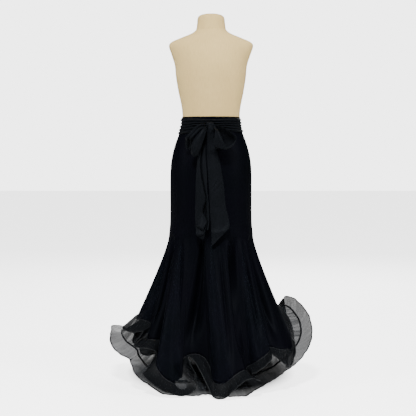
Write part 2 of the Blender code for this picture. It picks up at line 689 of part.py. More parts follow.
make_form()
make_stand()
make_waistband()
make_gores()
make_godets()
make_hem_braid()
make_underskirt()
make_sash_wrap()
make_knot()
make_loops()
make_tails()
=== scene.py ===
import math

import bpy
import numpy as np
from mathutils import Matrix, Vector


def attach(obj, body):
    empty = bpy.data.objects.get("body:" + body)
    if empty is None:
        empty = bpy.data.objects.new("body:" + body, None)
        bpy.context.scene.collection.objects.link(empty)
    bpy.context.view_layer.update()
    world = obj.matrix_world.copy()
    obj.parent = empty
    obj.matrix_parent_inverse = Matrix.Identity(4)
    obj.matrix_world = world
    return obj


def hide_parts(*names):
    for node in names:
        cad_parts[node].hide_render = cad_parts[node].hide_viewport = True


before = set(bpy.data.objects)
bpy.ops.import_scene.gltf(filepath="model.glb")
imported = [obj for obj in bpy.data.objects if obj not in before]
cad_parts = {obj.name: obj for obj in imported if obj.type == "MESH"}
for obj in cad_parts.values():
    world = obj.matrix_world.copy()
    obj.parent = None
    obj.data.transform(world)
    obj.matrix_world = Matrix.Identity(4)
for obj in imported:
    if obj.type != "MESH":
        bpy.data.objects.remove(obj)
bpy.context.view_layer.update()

# Camera: 4.5 m away at the height of the hips, looking three degrees down at the skirt.
eye = bpy.data.cameras.new("eye")
eye.sensor_width = 36
eye.lens = 93.46
camera = bpy.data.objects.new("camera", eye)
camera.location = (-0.0125, -4.5, 0.955)
camera.rotation_euler = (math.radians(90 - 3.145), 0, 0)
bpy.context.collection.objects.link(camera)
bpy.context.scene.camera = camera

# Dress form: a padded torso with a short neck, in a cream linen cover that is cut in panels,
# sewn together at shallow grooves and closed over the top of the neck by a cap.
FORM = np.array((  # in mm: height, half width, half depth, how far back its middle is
    (715, 148, 110, 0), (735, 156, 117, 0), (800, 164, 123.5, 0), (860, 163, 121.5, 0),
    (920, 154, 114.5, 0), (970, 141, 104.5, 0), (1020, 128.5, 96.5, 0), (1046, 120.7, 91.2, 0),
    (1066, 119, 89.3, 0), (1088, 118.2, 88.3, 0), (1130, 122.5, 92, 1), (1190, 135, 103, 4),
    (1250, 145, 113, 7), (1300, 150, 113, 6), (1345, 164, 99, 1), (1378, 174, 83, -4),
    (1395, 162, 74, -6), (1412, 123, 68, -7), (1430, 80, 61, -6), (1446, 62.5, 56, -3),
    (1470, 58, 54.5, 0), (1490, 56, 53, 1), (1502, 50, 47, 1), (1509, 33, 31, 1),
    (1511.5, 12, 11, 1),
)) / 1000
FORM_SEAMS = (0, 38, 90, 142, 180, 218, 270, 322)
NECK_FOOT = 1.4445
CAP_SEAM = 1.5015
FORM_TOP = 1.5117
FORM_BOTTOM = 0.715
FORM_RADIUS = 0.14  # mean radius, for lengths round the cover
PANEL_GROOVE = 0.0011
NECK_GROOVE = 0.0012
CAP_GROOVE = 0.0010
PADDING = 0.0007


def curve_through(knots, values, at):
    """Smooth curve through a table: cubic pieces whose slope at a row follows its neighbours."""
    knots = np.asarray(knots, float)
    values = np.asarray(values, float)
    at = np.asarray(at, float)
    slope = np.gradient(values, knots)
    i = np.clip(np.searchsorted(knots, at, side="right") - 1, 0, len(knots) - 2)
    span = knots[i + 1] - knots[i]
    t = (at - knots[i]) / span
    start = values[i] * (1 + 2 * t) * (1 - t) ** 2 + values[i + 1] * t * t * (3 - 2 * t)
    return start + span * (slope[i] * t * (1 - t) ** 2 - slope[i + 1] * t * t * (1 - t))


def columns_at(rows, at):
    """Every column of a table but the first, as smooth curves at places along the first."""
    table = np.array(rows, float).T
    return [curve_through(table[0], column, at) for column in table[1:]]


def bell(distance, width):
    """Soft bump: one where the distance is nothing, falling off over the width."""
    return np.exp(-(distance / width) ** 2)


def grid_of(*parts):
    """Points of a grid, or lengths over it, from their parts."""
    return np.stack(np.broadcast_arrays(*parts), axis=-1)


def oval_point(angle, wide, deep, height):
    """Point on an oval round the stand's axis, its angle counted from the bow's side."""
    return grid_of(wide * np.sin(angle), -deep * np.cos(angle), height)


def torso_surface(turn, row):
    """Oval rings set out by their row in the form's table, with a groove at each seam between
    two panels and round the foot of the neck, and a little padding between the seams."""
    rows = np.arange(len(FORM))
    height, wide, deep, middle = (curve_through(rows, column, row) for column in zip(*FORM))
    angle = np.radians(turn)
    apart = [np.abs((turn - seam + 180) % 360 - 180) for seam in FORM_SEAMS]
    nearest = np.radians(np.min(apart, axis=0)) * 0.5 * (wide + deep)
    fade = np.clip((CAP_SEAM + 0.0015 - height) / 0.006, 0, 1)
    out = -PANEL_GROOVE * bell(nearest, 0.0022) * fade
    out = out - NECK_GROOVE * bell(height - NECK_FOOT, 0.0024)
    out = out - CAP_GROOVE * bell(height - CAP_SEAM, 0.0016)
    out = out + PADDING * fade * np.sin(3 * angle + 1) * np.sin(21 * height)
    points = oval_point(angle, wide + out, deep + out, height)
    points[..., 1] += middle
    return points


def piece_from(name, points, faces, finish, lengths=None):
    """New object at the origin with this mesh, its material, smooth shading and, where lengths
    over the surface are given, a UV map that holds them in metres."""
    mesh = bpy.data.meshes.new(name)
    mesh.from_pydata(points.reshape(-1, 3).tolist(), [], faces)
    if lengths is not None:
        corners = np.empty(len(mesh.loops), np.int32)
        mesh.loops.foreach_get("vertex_index", corners)
        mesh.uv_layers.new(name="cloth").data.foreach_set(
            "uv", lengths.reshape(-1, 2)[corners].astype(np.float32).ravel())
    mesh.materials.append(finish)
    mesh.shade_smooth()
    made = bpy.data.objects.new(name, mesh)
    bpy.context.collection.objects.link(made)
    return made


def faces_over(at):
    """Four-sided faces between a grid's point numbers, seen from outside where rows run down
    and columns rightwards."""
    faces = np.stack((at[:-1, :-1], at[1:, :-1], at[1:, 1:], at[:-1, 1:]), axis=-1)
    return faces.reshape(-1, 4).tolist()


def ring_faces(rows, around):
    """Faces of stacked rings, top ring first, closed by a fan round a point at each end."""
    at = np.arange(rows * around).reshape(rows, around)
    at = np.concatenate((at, at[:, :1]), axis=1)
    top, bottom = rows * around, rows * around + 1
    fans = [(top, a, b) for a, b in zip(at[0, :-1].tolist(), at[0, 1:].tolist())]
    fans += [(bottom, b, a) for a, b in zip(at[-1, :-1].tolist(), at[-1, 1:].tolist())]
    return faces_over(at) + fans


def padded_piece(name, points, ends, lengths, end_lengths, finish, node):
    """Padded piece of stacked rings and a point at each end: it stands for its CAD node and rides
    on the body."""
    made = piece_from(name, np.concatenate((points.reshape(-1, 3), ends)),
                      ring_faces(*points.shape[:2]), finish,
                      np.concatenate((lengths.reshape(-1, 2), end_lengths)))
    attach(made, "root")
    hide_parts(node)


def join(tree, node, values):
    """Set a node's inputs, or link those whose value is another node's output."""
    for name, value in values.items():
        if isinstance(value, bpy.types.NodeSocket):
            tree.links.new(value, node.inputs[name])
        else:
            node.inputs[name].default_value = value


def node_in(tree, kind, values, **settings):
    """New shader node with its settings and its inputs set or linked."""
    made = tree.nodes.new(kind)
    for name, value in settings.items():
        setattr(made, name, value)
    join(tree, made, values)
    return made


def blend_of(tree, share, first, second):
    """Colour between two others, by a share."""
    return node_in(tree, "ShaderNodeMix", {"Factor": share, "A": (*first, 1), "B": (*second, 1)},
                   data_type="RGBA").outputs["Result"]


def maths(tree, operation, *inputs, clamp=False):
    """One sum on numbers and sockets."""
    return node_in(tree, "ShaderNodeMath", dict(enumerate(inputs)), operation=operation,
                   use_clamp=clamp).outputs["Value"]


def remap(tree, value, low, high, to_low, to_high):
    """Value carried from one range to another, kept inside it."""
    return node_in(tree, "ShaderNodeMapRange", {
        "Value": value, "From Min": low, "From Max": high, "To Min": to_low,
        "To Max": to_high}).outputs["Result"]


def mapped(tree, source, scale=(1, 1, 1), turned=0.0):
    """Pattern coordinates drawn out along their axes and turned by an angle."""
    return node_in(tree, "ShaderNodeMapping", {
        "Vector": source, "Scale": scale,
        "Rotation": (0, 0, math.radians(turned))}).outputs["Vector"]


def noise(tree, source, scale, detail=2.0, **more):
    """Cloudy pattern of about one cloud in each 1/scale."""
    return node_in(tree, "ShaderNodeTexNoise", {"Vector": source, "Scale": scale,
                                                "Detail": detail, **more}).outputs["Fac"]


def bands(tree, source, apart, way, distortion, detail=2.0):
    """Wavy bands at a distance from one another; at scale 1 they would lie 0.314 apart."""
    return node_in(tree, "ShaderNodeTexWave", {
        "Vector": source, "Scale": 0.314 / apart, "Distortion": distortion, "Detail": detail},
        wave_type="BANDS", bands_direction=way).outputs["Fac"]


def bump(tree, height, strength, distance):
    """Normal of a surface that a pattern's height makes uneven."""
    return node_in(tree, "ShaderNodeBump", {"Height": height, "Strength": strength,
                                            "Distance": distance}).outputs["Normal"]


def new_finish(name, roughness, specular=0.5, metallic=0.0, sheen=0.0, tint=(1, 1, 1)):
    """Material with its main shader, the values that are the same all over it, and the
    coordinates that its patterns are set out on."""
    made = bpy.data.materials.new(name)
    made.use_nodes = True
    tree = made.node_tree
    shader = tree.nodes["Principled BSDF"]
    join(tree, shader, {"Roughness": roughness, "Specular IOR Level": specular,
                        "Metallic": metallic, "Sheen Weight": sheen, "Sheen Roughness": 0.45,
                        "Sheen Tint": (*tint, 1), "Specular Tint": (*tint, 1)})
    return made, tree, shader, tree.nodes.new("ShaderNodeTexCoord").outputs


def weave_height(tree, source, thread, across=0.0):
    """Height of a plain weave: two sets of bands at right angles, one thread apart, turned by
    an angle from the cloth's own lengths."""
    turned = mapped(tree, source, turned=across)
    return maths(tree, "ADD", *(bands(tree, turned, thread, way, 0.6, 1.0) for way in ("X", "Y")))


def linen_finish():
    """Cream linen: a plain weave with slubs, a little uneven in colour."""
    made, tree, shader, place = new_finish("cream_linen_cover", 0.88, specular=0.25, sheen=0.08)
    slub = noise(tree, mapped(tree, place["UV"], (1.0, 0.12, 1.0)), 320.0)
    share = maths(tree, "MULTIPLY_ADD", noise(tree, place["Object"], 9.0, 3.0), 0.5, slub)
    join(tree, shader, {
        "Base Color": blend_of(tree, share, (0.44, 0.30, 0.110), (0.58, 0.42, 0.175)),
        "Normal": bump(tree, weave_height(tree, place["UV"], 0.0009), 0.35, 0.0003)})
    return made


form_turns = np.linspace(0, 360, 144, endpoint=False)
form_points = torso_surface(*np.meshgrid(form_turns, np.linspace(len(FORM) - 1, 0, 190)))
padded_piece("form_torso_cover", form_points, ((0.0, 0.001, FORM_TOP), (0.0, 0.0, FORM_BOTTOM)),
             grid_of(np.radians(form_turns) * FORM_RADIUS, form_points[..., 2]),
             ((0, FORM_TOP), (0, FORM_BOTTOM)), linen_finish(), "form_torso")

# Stand: a steel pole under the torso and a round steel base, brushed and lacquered.


def steel_finish():
    """Satin steel: fine brushed lines, a little darker in places."""
    made, tree, shader, place = new_finish("satin_steel", 0.34, metallic=1.0)
    lines = noise(tree, mapped(tree, place["Object"], (1.0, 1.0, 0.04)), 900.0, 3.0)
    join(tree, shader, {
        "Base Color": blend_of(tree, lines, (0.42, 0.43, 0.44), (0.62, 0.62, 0.61)),
        "Normal": bump(tree, lines, 0.15, 0.0001)})
    return made


steel = steel_finish()
for part in ("form_pole", "form_base"):
    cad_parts[part].data.materials.clear()
    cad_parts[part].data.materials.append(steel)

# Skirt: eight crepe gores, fitted to the knee and flared below it, sewn edge to edge with
# their allowances turned in, and a crepe waistband behind the sash.
CLOTH = 0.0012
WAIST_TOP = 1.086
WAIST_SEAM = 1.046
KNEE = 0.600
KNEE_EASE = 0.060
FLOOR_GAP = 0.003
BRAID = 0.075
GORES = 8
GODET_TIP = 1.12
GODET_TIP_HALF = 0.16
GODET_HALF = 9.0
SEAM = -0.0014  # each panel reaches this far past the seam, under its rolled edge
BODY = np.array((  # in mm: height, half width, half depth
    (560, 179, 137.5), (600, 174.5, 133.5), (640, 170.5, 130), (700, 169, 129), (800, 169, 128.5),
    (850, 168.5, 127), (900, 165, 123.5), (938, 158, 118), (980, 146, 109), (1020, 131, 99),
    (1046, 122.5, 93), (1090, 120, 90),
)) / 1000
# Folds of the hem: turn at the knee, turn, radius and height of the hem's seam in millimetres,
# lean of the braid out from straight down, its swing sideways.
HEM_FOLDS = (
    (-170, -172, 270, 130, 45, 0), (-156, -158, 400, 52, 60, 0), (-143, -144, 280, 150, 45, 0),
    (-130, -129, 368, 115, 66, 0), (-117, -114, 272, 235, 60, 0), (-104, -100, 238, 325, 42, 0),
    (-98, -91, 275, 290, 50, 6), (-92, -82, 309, 254, 55, 3), (-87, -74, 294, 252, 52, 4),
    (-82, -67, 278, 248, 62, 25), (-77, -60, 280, 236, 80, 35), (-72, -55, 312, 203, 66, 6),
    (-68, -52, 322, 190, 74, 18), (-64, -47.5, 303, 190, 70, 30), (-61, -45.5, 276, 185, 60, 30),
    (-57, -42, 310, 147, 50, 0), (-54, -38.8, 345, 121, 70, 10), (-52, -36, 368, 102, 75, -8),
    (-49, -32.5, 370, 75, 78, -3), (-45, -28, 373, 56, 74, 5), (-41, -23.5, 370, 43, 71, 16),
    (-37, -20.2, 356, 37, 68, 32), (-34, -19.3, 343, 51, 61, 56), (-31, -20.8, 331, 73, 66, 80),
    (-28, -22.2, 318, 98, 78, 74), (-25.5, -22.4, 303, 119, 88, 50),
    (-23, -20.5, 288, 135, 95, 30), (-20, -16.5, 274, 142, 94, 12), (-17, -10.5, 270, 142, 83, -5),
    (-14, -4.6, 281, 127, 76, -18), (-11, -1.2, 300, 101, 72, -21), (-8, 0.2, 326, 73, 68, -13),
    (-5, 1.6, 352, 50, 57, -7), (-2, 4, 376, 48, 54, -6), (2, 7.3, 388, 52, 54, -8),
    (7, 11.2, 392, 70, 58, -11), (12, 15.4, 388, 89, 66, -11), (16, 19, 384, 98, 76, -6),
    (20, 21.4, 374, 93, 74, 10), (23, 22.4, 362, 90, 70, 24), (26, 23, 348, 88, 66, 22),
    (30, 24.2, 333, 92, 70, 2), (36, 26.5, 334, 104, 76, -18), (42, 30.2, 357, 123, 74, -25),
    (48, 35.2, 366, 145, 75, -31), (52, 39.4, 363, 159, 78, -36), (56, 41.6, 352, 169, 79, -38),
    (60, 43.4, 366, 167, 70, -40), (65, 47.3, 382, 161, 52, -40), (70, 52, 388, 157, 30, -60),
    (75, 57, 386, 155, 48, -60), (80, 62.4, 366, 179, 62, -52), (85, 69.2, 338, 215, 59, -50),
    (91, 80.5, 303, 262, 50, -40), (96, 91, 270, 305, 45, -15), (101, 101, 243, 340, 46, 0),
    (111, 111, 262, 284, 60, 0), (121, 121, 322, 190, 62, 0), (132, 131.5, 285, 150, 48, 0),
    (143, 144, 380, 80, 62, 0), (155, 156, 275, 130, 45, 0), (167, 169, 396, 52, 60, 0),
    (178, 179, 380, 60, 58, 0),
)
GORE_PLACES = ("far_left_inner", "far_left_outer", "near_left_outer", "near_left_inner",
               "near_right_inner", "near_right_outer", "far_right_outer", "far_right_inner")
SEAM_TURNS = [-180 + 360 / GORES * k for k in range(GORES)]


def all_round(folds):
    """The rows of a fold table in metres, carried on by five rows past each end of the turn."""
    rows = np.array(folds, float)
    rows[:, 2:4] /= 1000
    before = rows[-5:].copy()
    after = rows[:5].copy()
    before[:, :2] -= 360
    after[:, :2] += 360
    return np.vstack((before, rows, after))


HEM_ROWS = all_round(HEM_FOLDS)


def body_ring(turn, height):
    """Point of the fitted skirt: an oval at that height, its turn counted from the bow."""
    wide, deep = columns_at(BODY, height)
    return oval_point(np.radians(turn), wide, deep, height)


def unit(vectors):
    """Vectors at length one."""
    return vectors / np.linalg.norm(vectors, axis=-1, keepdims=True)


def flare(start, end, share, ease):
    """Fall from start that leaves straight down and turns away to reach end."""
    t = share[..., None]
    return start + 2 * t * (1 - t) * np.array((0.0, 0.0, -ease)) + t * t * (end - start)


def hem_lines(rows, turn, width):
    """Seam of a hem at that turn, and the edge of its braid: the braid's width away along the
    table's lean and swing, bent up where it meets the floor."""
    angle, radius, height, lean, swing = columns_at(rows, turn)
    angle, lean, swing = np.radians(angle), np.radians(lean), np.radians(swing)
    seam = oval_point(angle, radius, radius, height)
    away = oval_point(angle + swing, np.sin(lean), np.sin(lean), -np.cos(lean))
    edge = seam + width * away
    edge[..., 2] = np.maximum(edge[..., 2], FLOOR_GAP + CLOTH)
    return seam, edge


def skirt_point(turn, drop):
    """Middle of the skirt's cloth. Drop 0 is the waist seam, 1 the knee, 2 the hem seam,
    3 the edge of the braid; turn is counted at the knee."""
    turn, drop = np.broadcast_arrays(np.asarray(turn, float), np.asarray(drop, float))
    fitted = body_ring(turn, WAIST_SEAM + (KNEE - WAIST_SEAM) * np.minimum(drop, 1))
    seam, edge = hem_lines(HEM_ROWS, turn, BRAID)
    flared = flare(body_ring(turn, KNEE), seam, np.clip(drop - 1, 0, 1), KNEE_EASE)
    braid = seam + (edge - seam) * np.maximum(drop - 2, 0)[..., None]
    chosen = np.where((drop <= 1)[..., None], fitted, flared)
    return np.where((drop > 2)[..., None], braid, chosen)


SIDE_STEP = 0.05  # steps across and down a surface, to take its slope
FALL_STEP = 0.01


def outward(surface, across, down):
    """Unit normal of a surface: its fall crossed with its step across. The fall is halfway
    between the cloth's way above and below the point, so a seam's two sides share a normal."""
    middle = surface(across, down)
    side = surface(across + SIDE_STEP, down) - surface(across - SIDE_STEP, down)
    below = unit(surface(across, down + FALL_STEP) - middle)
    above = unit(middle - surface(across, down - FALL_STEP))
    return unit(np.cross(below + above, side))


def seam_line(surface, across, down, shift):
    """Across values moved sideways along the surface by a distance, for one edge of a panel."""
    step = surface(across + SIDE_STEP, down) - surface(across - SIDE_STEP, down)
    return across + shift * 2 * SIDE_STEP / np.linalg.norm(step, axis=-1)


def godet_half(drop):
    """Half of a godet's share of the turn at this drop: none above its tip."""
    return np.interp(drop, (0.97, GODET_TIP, 2.0), (0.0, GODET_TIP_HALF, GODET_HALF))


# Narrow valleys between the flares: turn at the knee and at the hem, half width, depth, and
# the drop where each begins.
VALLEYS = (
    (-170, -170, 4.0, 0.022, 1.02), (-143, -143, 4.0, 0.022, 1.02), (-117, -117, 3.6, 0.020, 1.05),
    (-100, -102, 3.0, 0.018, 1.03), (-84, -83, 2.6, 0.016, 1.06), (-63, -69, 3.2, 0.028, 1.00),
    (-43, -40, 2.6, 0.014, 1.00), (-11, -21, 3.0, 0.038, 0.94), (1, 1, 1.2, 0.004, 1.20),
    (13, 8, 2.2, 0.014, 1.10), (32, 18, 4.4, 0.040, 0.96), (50, 47, 2.4, 0.014, 1.05),
    (66, 63, 3.4, 0.030, 1.00), (89, 92, 3.0, 0.022, 1.03), (112, 111, 3.6, 0.020, 1.05),
    (132, 132, 4.0, 0.020, 1.02), (155, 155, 4.0, 0.022, 1.02),
)
# Waves round the skirt: how many, their share of the depth, where they start, their slant.
SKIRT_WAVES = ((17, 1.0, 2.1, 0.8), (29, 0.7, 0.6, -1.3), (43, 0.5, 4.0, 1.7))
WAVE_DEPTH = 0.0011
DRAG_DEPTH = 0.0005


def soft_step(share):
    """Share between 0 and 1, easing off at both ends."""
    return share * share * (3 - 2 * share)


def soft_folds(turn, drop):
    """Folds finer than the table's: three waves round the skirt, slanting a little as they
    fall and growing from the knee to the hem, faint drag lines over the hips, and the narrow
    valleys, each a bell across that deepens to halfway down the flare and then opens out."""
    angle = np.radians(turn)
    opened = soft_step(np.clip((drop - 1.76) / 0.24, 0, 1))
    deep = 0.0
    for top, low_turn, half, depth, begin in VALLEYS:
        line = top + (low_turn - top) * np.clip(drop - 1, 0, 1)
        away = (turn - line + 180) % 360 - 180
        grown = soft_step(np.clip((drop - begin) / 0.5, 0, 1))
        deep = deep - depth * (grown * (1 - opened)) * bell(away, half)
    low = np.clip((drop - 0.72) / 0.95, 0, 1) ** 1.6
    waves = sum(share * np.sin(count * angle + start + slant * drop)
                for count, share, start, slant in SKIRT_WAVES)
    drag = np.sin(9 * angle + 1.0 + 2.2 * drop) * np.sin(math.pi * np.clip(drop, 0, 1))
    return deep + WAVE_DEPTH * low * waves + DRAG_DEPTH * drag


def lifted(surface, relief, across, down):
    """Points of a surface moved out along its normals by a relief, and those normals."""
    normal = outward(surface, across, down)
    return surface(across, down) + relief(across, down)[..., None] * normal, normal


def lengths_over(points):
    """Lengths over a grid of cloth in metres: along each row from its middle, down each column."""
    side = np.linalg.norm(np.diff(points, axis=1), axis=-1)
    fall = np.linalg.norm(np.diff(points, axis=0), axis=-1)
    along = np.concatenate((np.zeros((len(points), 1)), np.cumsum(side, axis=1)), axis=1)
    down = np.concatenate((np.zeros((1, points.shape[1])), np.cumsum(fall, axis=0)))
    return grid_of(along - along[:, -1:] / 2, down)


ROLL_DEPTH = 0.0003
ROLL_WIDTH = 0.0030


def rolled_sides(points, normal):
    """The two side edges of a panel turned in towards its seams, over a few millimetres."""
    along = lengths_over(points)[..., 0]
    from_edge = np.minimum(along - along[:, :1], along[:, -1:] - along)
    near = np.clip(1 - from_edge / ROLL_WIDTH, 0, 1) ** 2
    return points - ROLL_DEPTH * near[..., None] * normal


# How thick the cloth of each slot is.
THICKNESS = {"crepe": 0.0009, "godet_crepe": 0.0009, "net_braid": 0.0006, "sheer_net": 0.0005,
             "georgette": 0.0008}


def cloth_piece(name, points, finish, slot, node):
    """One sheet of cloth from its grid: a thin shell that stands for its CAD node and rides on
    the body."""
    rows, columns = points.shape[:2]
    made = piece_from(name, points, faces_over(np.arange(rows * columns).reshape(rows, columns)),
                      finish, lengths_over(points))
    shell = made.modifiers.new("thickness of the cloth", "SOLIDIFY")
    shell.thickness = THICKNESS[slot]
    shell.offset = 0
    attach(made, "root")
    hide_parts(node)


def crepe_finish(name, deep, light, opacity=1.0, sheen=0.004):
    """Matt crepe: near black with blue and violet casts in slow clouds and fine upright
    streaks, and a pebbled face that catches a little light."""
    made, tree, shader, place = new_finish(name, 0.50, specular=0.017, sheen=sheen,
                                           tint=(0.75, 0.84, 1.0))
    cloud = noise(tree, place["Object"], 5.0, Roughness=0.6)
    cast = blend_of(tree, maths(tree, "MULTIPLY_ADD", cloud, 1.5, -0.25),
                    (deep[0], deep[1] * 1.25, deep[2] * 1.05),
                    (light[0] * 1.15, light[1] * 0.9, light[2] * 1.2))
    streak = noise(tree, mapped(tree, place["UV"], (1.0, 0.02, 1.0)), 240.0)
    lit = node_in(tree, "ShaderNodeMix", {
        "Factor": 0.5, "A": cast,
        "B": blend_of(tree, streak, (0.90, 0.90, 0.90), (1.12, 1.12, 1.12))},
        data_type="RGBA", blend_type="MULTIPLY")
    join(tree, shader, {
        "Base Color": lit.outputs["Result"], "Alpha": opacity,
        "Normal": bump(tree, noise(tree, place["Object"], 1500.0), 0.30, 0.0003)})
    return made


crepe = crepe_finish("navy_black_crepe", (0.0007, 0.0009, 0.0014), (0.0012, 0.0013, 0.0022))


HEM_DROP = 1.9998  # where the crepe ends, a hair above the braid


def panel_cloth(first, last, drops, columns):
    """Panel of the skirt between two lines of turns, one turn for each drop, its columns closer
    together beside the seams."""
    left = seam_line(skirt_point, first, drops, SEAM)
    right = seam_line(skirt_point, last, drops, -SEAM)
    share = 0.5 - 0.5 * np.cos(np.linspace(0, math.pi, columns))
    turn = left[:, None] + (right - left)[:, None] * share
    drop = np.repeat(drops[:, None], columns, axis=1)
    return rolled_sides(*lifted(skirt_point, soft_folds, turn, drop))


gore_drops = np.concatenate((np.linspace(0, 0.9, 44, endpoint=False),
                             np.linspace(0.9, HEM_DROP, 92)))
for place, seam in zip(GORE_PLACES, SEAM_TURNS):
    half = godet_half(gore_drops)
    cloth_piece("skirt_gore_" + place,
                panel_cloth(seam + half, seam + 360 / GORES - half, gore_drops, 45), crepe,
                "crepe", "gore_" + place)

waistband_rows = np.linspace(WAIST_TOP, WAIST_SEAM + 0.0002, 14)[:, None]
for place, first in (("near", -90), ("far", 90)):
    turns = first + np.linspace(0.06, 179.94, 90)[None, :]
    cloth_piece("waistband_cloth_" + place, body_ring(turns, waistband_rows), crepe, "crepe",
                "waistband_" + place)

# Godets: eight narrow wedges of a slightly lighter, thinner crepe, let into the gore seams
# from below the knee to the hem.
SEAM_PLACES = ("far_centre", "far_left", "left", "near_left", "near_centre", "near_right",
               "right", "far_right")
godet_crepe = crepe_finish("navy_black_godet_crepe", (0.0009, 0.0013, 0.0019),
                           (0.0015, 0.0018, 0.0030), opacity=0.97, sheen=0.006)
godet_drops = np.linspace(GODET_TIP, HEM_DROP, 84)
for k, (place, seam) in enumerate(zip(SEAM_PLACES, SEAM_TURNS)):
    half = godet_half(godet_drops)
    cloth_piece("skirt_godet_" + place, panel_cloth(seam - half, seam + half, godet_drops, 31),
                godet_crepe, "godet_crepe", "godet_" + place)

# Hem of the skirt: wide stiffened net braid that springs out in rolls, a bound seam where it
# meets the crepe, and a fine cord sewn along its edge.


def net_finish(name, deep, light, opacity, thread=0.0016, gathers=0.06, width=None):
    """Stiffened net: crossed threads set slantwise, seen through between them, denser in
    streaks where it is drawn together, with a closer selvedge along both edges of a braid."""
    made, tree, shader, place = new_finish(name, 0.45, specular=0.12)
    threads = weave_height(tree, place["UV"], thread, across=45)
    drawn = noise(tree, mapped(tree, place["UV"], (1.0, 0.06, 1.0)), 95.0, Distortion=0.4)
    cover = maths(tree, "ADD", remap(tree, threads, 0.0, 2.0, opacity - 0.07, opacity + 0.07),
                  remap(tree, drawn, 0.35, 0.70, -gathers, gathers), clamp=not width)
    if width:
        down = node_in(tree, "ShaderNodeSeparateXYZ", {"Vector": place["UV"]}).outputs["Y"]
        side = maths(tree, "ABSOLUTE", maths(tree, "MULTIPLY_ADD", down, 2 / width, -1.0))
        cover = maths(tree, "ADD", cover, remap(tree, side, 0.84, 0.92, 0.0, 0.12), clamp=True)
    join(tree, shader, {
        "Base Color": blend_of(tree, maths(tree, "MULTIPLY", threads, 0.5), deep, light),
        "Alpha": cover})
    return made


def cord_finish(name, colour):
    """Smooth twisted cord or binding: slanting strands and a soft shine."""
    made, tree, shader, place = new_finish(name, 0.5, specular=0.12)
    strands = bands(tree, place["UV"], 0.0012, "DIAGONAL", 0.4)
    join(tree, shader, {
        "Base Color": blend_of(tree, strands, [0.7 * c for c in colour], [1.3 * c for c in colour]),
        "Normal": bump(tree, strands, 0.4, 0.0002)})
    return made


CORD_SIDES = 8


def cord_along(name, path, normal, finish, thick, wide):
    """Tube with an oval section carried along a path, flat side on the cloth, closed at both
    ends by a fan."""
    tangent = unit(np.gradient(path, axis=0))
    side = unit(np.cross(normal, tangent))
    upright = np.cross(tangent, side)
    angle = np.linspace(0, 2 * math.pi, CORD_SIDES, endpoint=False)
    ring = (0.5 * wide * np.cos(angle)[None, :, None] * side[:, None, :]
            + 0.5 * thick * np.sin(angle)[None, :, None] * upright[:, None, :])
    rings = path[:, None, :] + ring
    points = np.concatenate((rings.reshape(-1, 3), path[:1], path[-1:]))
    run = np.concatenate(((0,), np.cumsum(np.linalg.norm(np.diff(path, axis=0), axis=-1))))
    lengths = grid_of(run[:, None], angle * 0.5 * wide).reshape(-1, 2)
    lengths = np.concatenate((lengths, ((0, 0), (run[-1], 0))))
    made = piece_from(name, points, ring_faces(len(path), CORD_SIDES), finish, lengths)
    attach(made, "root")
    return made


net_braid = net_finish("stiffened_net_braid", (0.0015, 0.002, 0.0025),
                       (0.0055, 0.0062, 0.0075), 0.885, width=BRAID)
hem_binding = cord_finish("hem_seam_binding", (0.004, 0.0046, 0.006))
hem_cord = cord_finish("hem_edge_cord", (0.008, 0.009, 0.010))
END_GAP = 0.02  # degrees left free at each end of a length round the skirt
BRAID_HOLLOW = 0.0035


def turns_of(first, span, count):
    """Turns of a length of cloth that starts at a turn and spans some degrees."""
    return np.linspace(first + END_GAP, first + span - END_GAP, count)


def braid_cloth(turns, seam_drop, surface, relief):
    """A length of braid: from the hem seam to its edge, sprung into a slight hollow, with small
    waves along its edge."""
    turn, part = np.meshgrid(turns, np.linspace(0.0005, 1, 16))
    normal = outward(surface, turn, seam_drop + part)
    angle = np.radians(turn)
    edge = 0.0010 * np.sin(61 * angle + 0.5) + 0.0006 * np.sin(97 * angle + 2.0)
    lift = relief(turn, seam_drop + 0 * turn) * (1 - 0.5 * part) + edge * part ** 2
    lift = lift - BRAID_HOLLOW * np.sin(math.pi * part)
    points = surface(turn, seam_drop + part) + lift[..., None] * normal
    points[..., 2] = np.maximum(points[..., 2], FLOOR_GAP)
    return points


for place, seam in zip(SEAM_PLACES, SEAM_TURNS):
    turns = turns_of(seam - 180 / GORES, 360 / GORES, 112)
    points = braid_cloth(turns, 2.0, skirt_point, soft_folds)
    top, normal = lifted(skirt_point, soft_folds, turns, np.full(len(turns), 2.0))
    binding = cord_along("hem_seam_binding_" + place, top, normal, hem_binding,
                         thick=0.0024, wide=0.0036)
    edging = cord_along("hem_edge_cord_" + place, points[-1], normal, hem_cord,
                        thick=0.0024, wide=0.0034)
    cloth_piece("hem_braid_cloth_" + place, points, net_braid, "net_braid",
                "hem_braid_" + place)

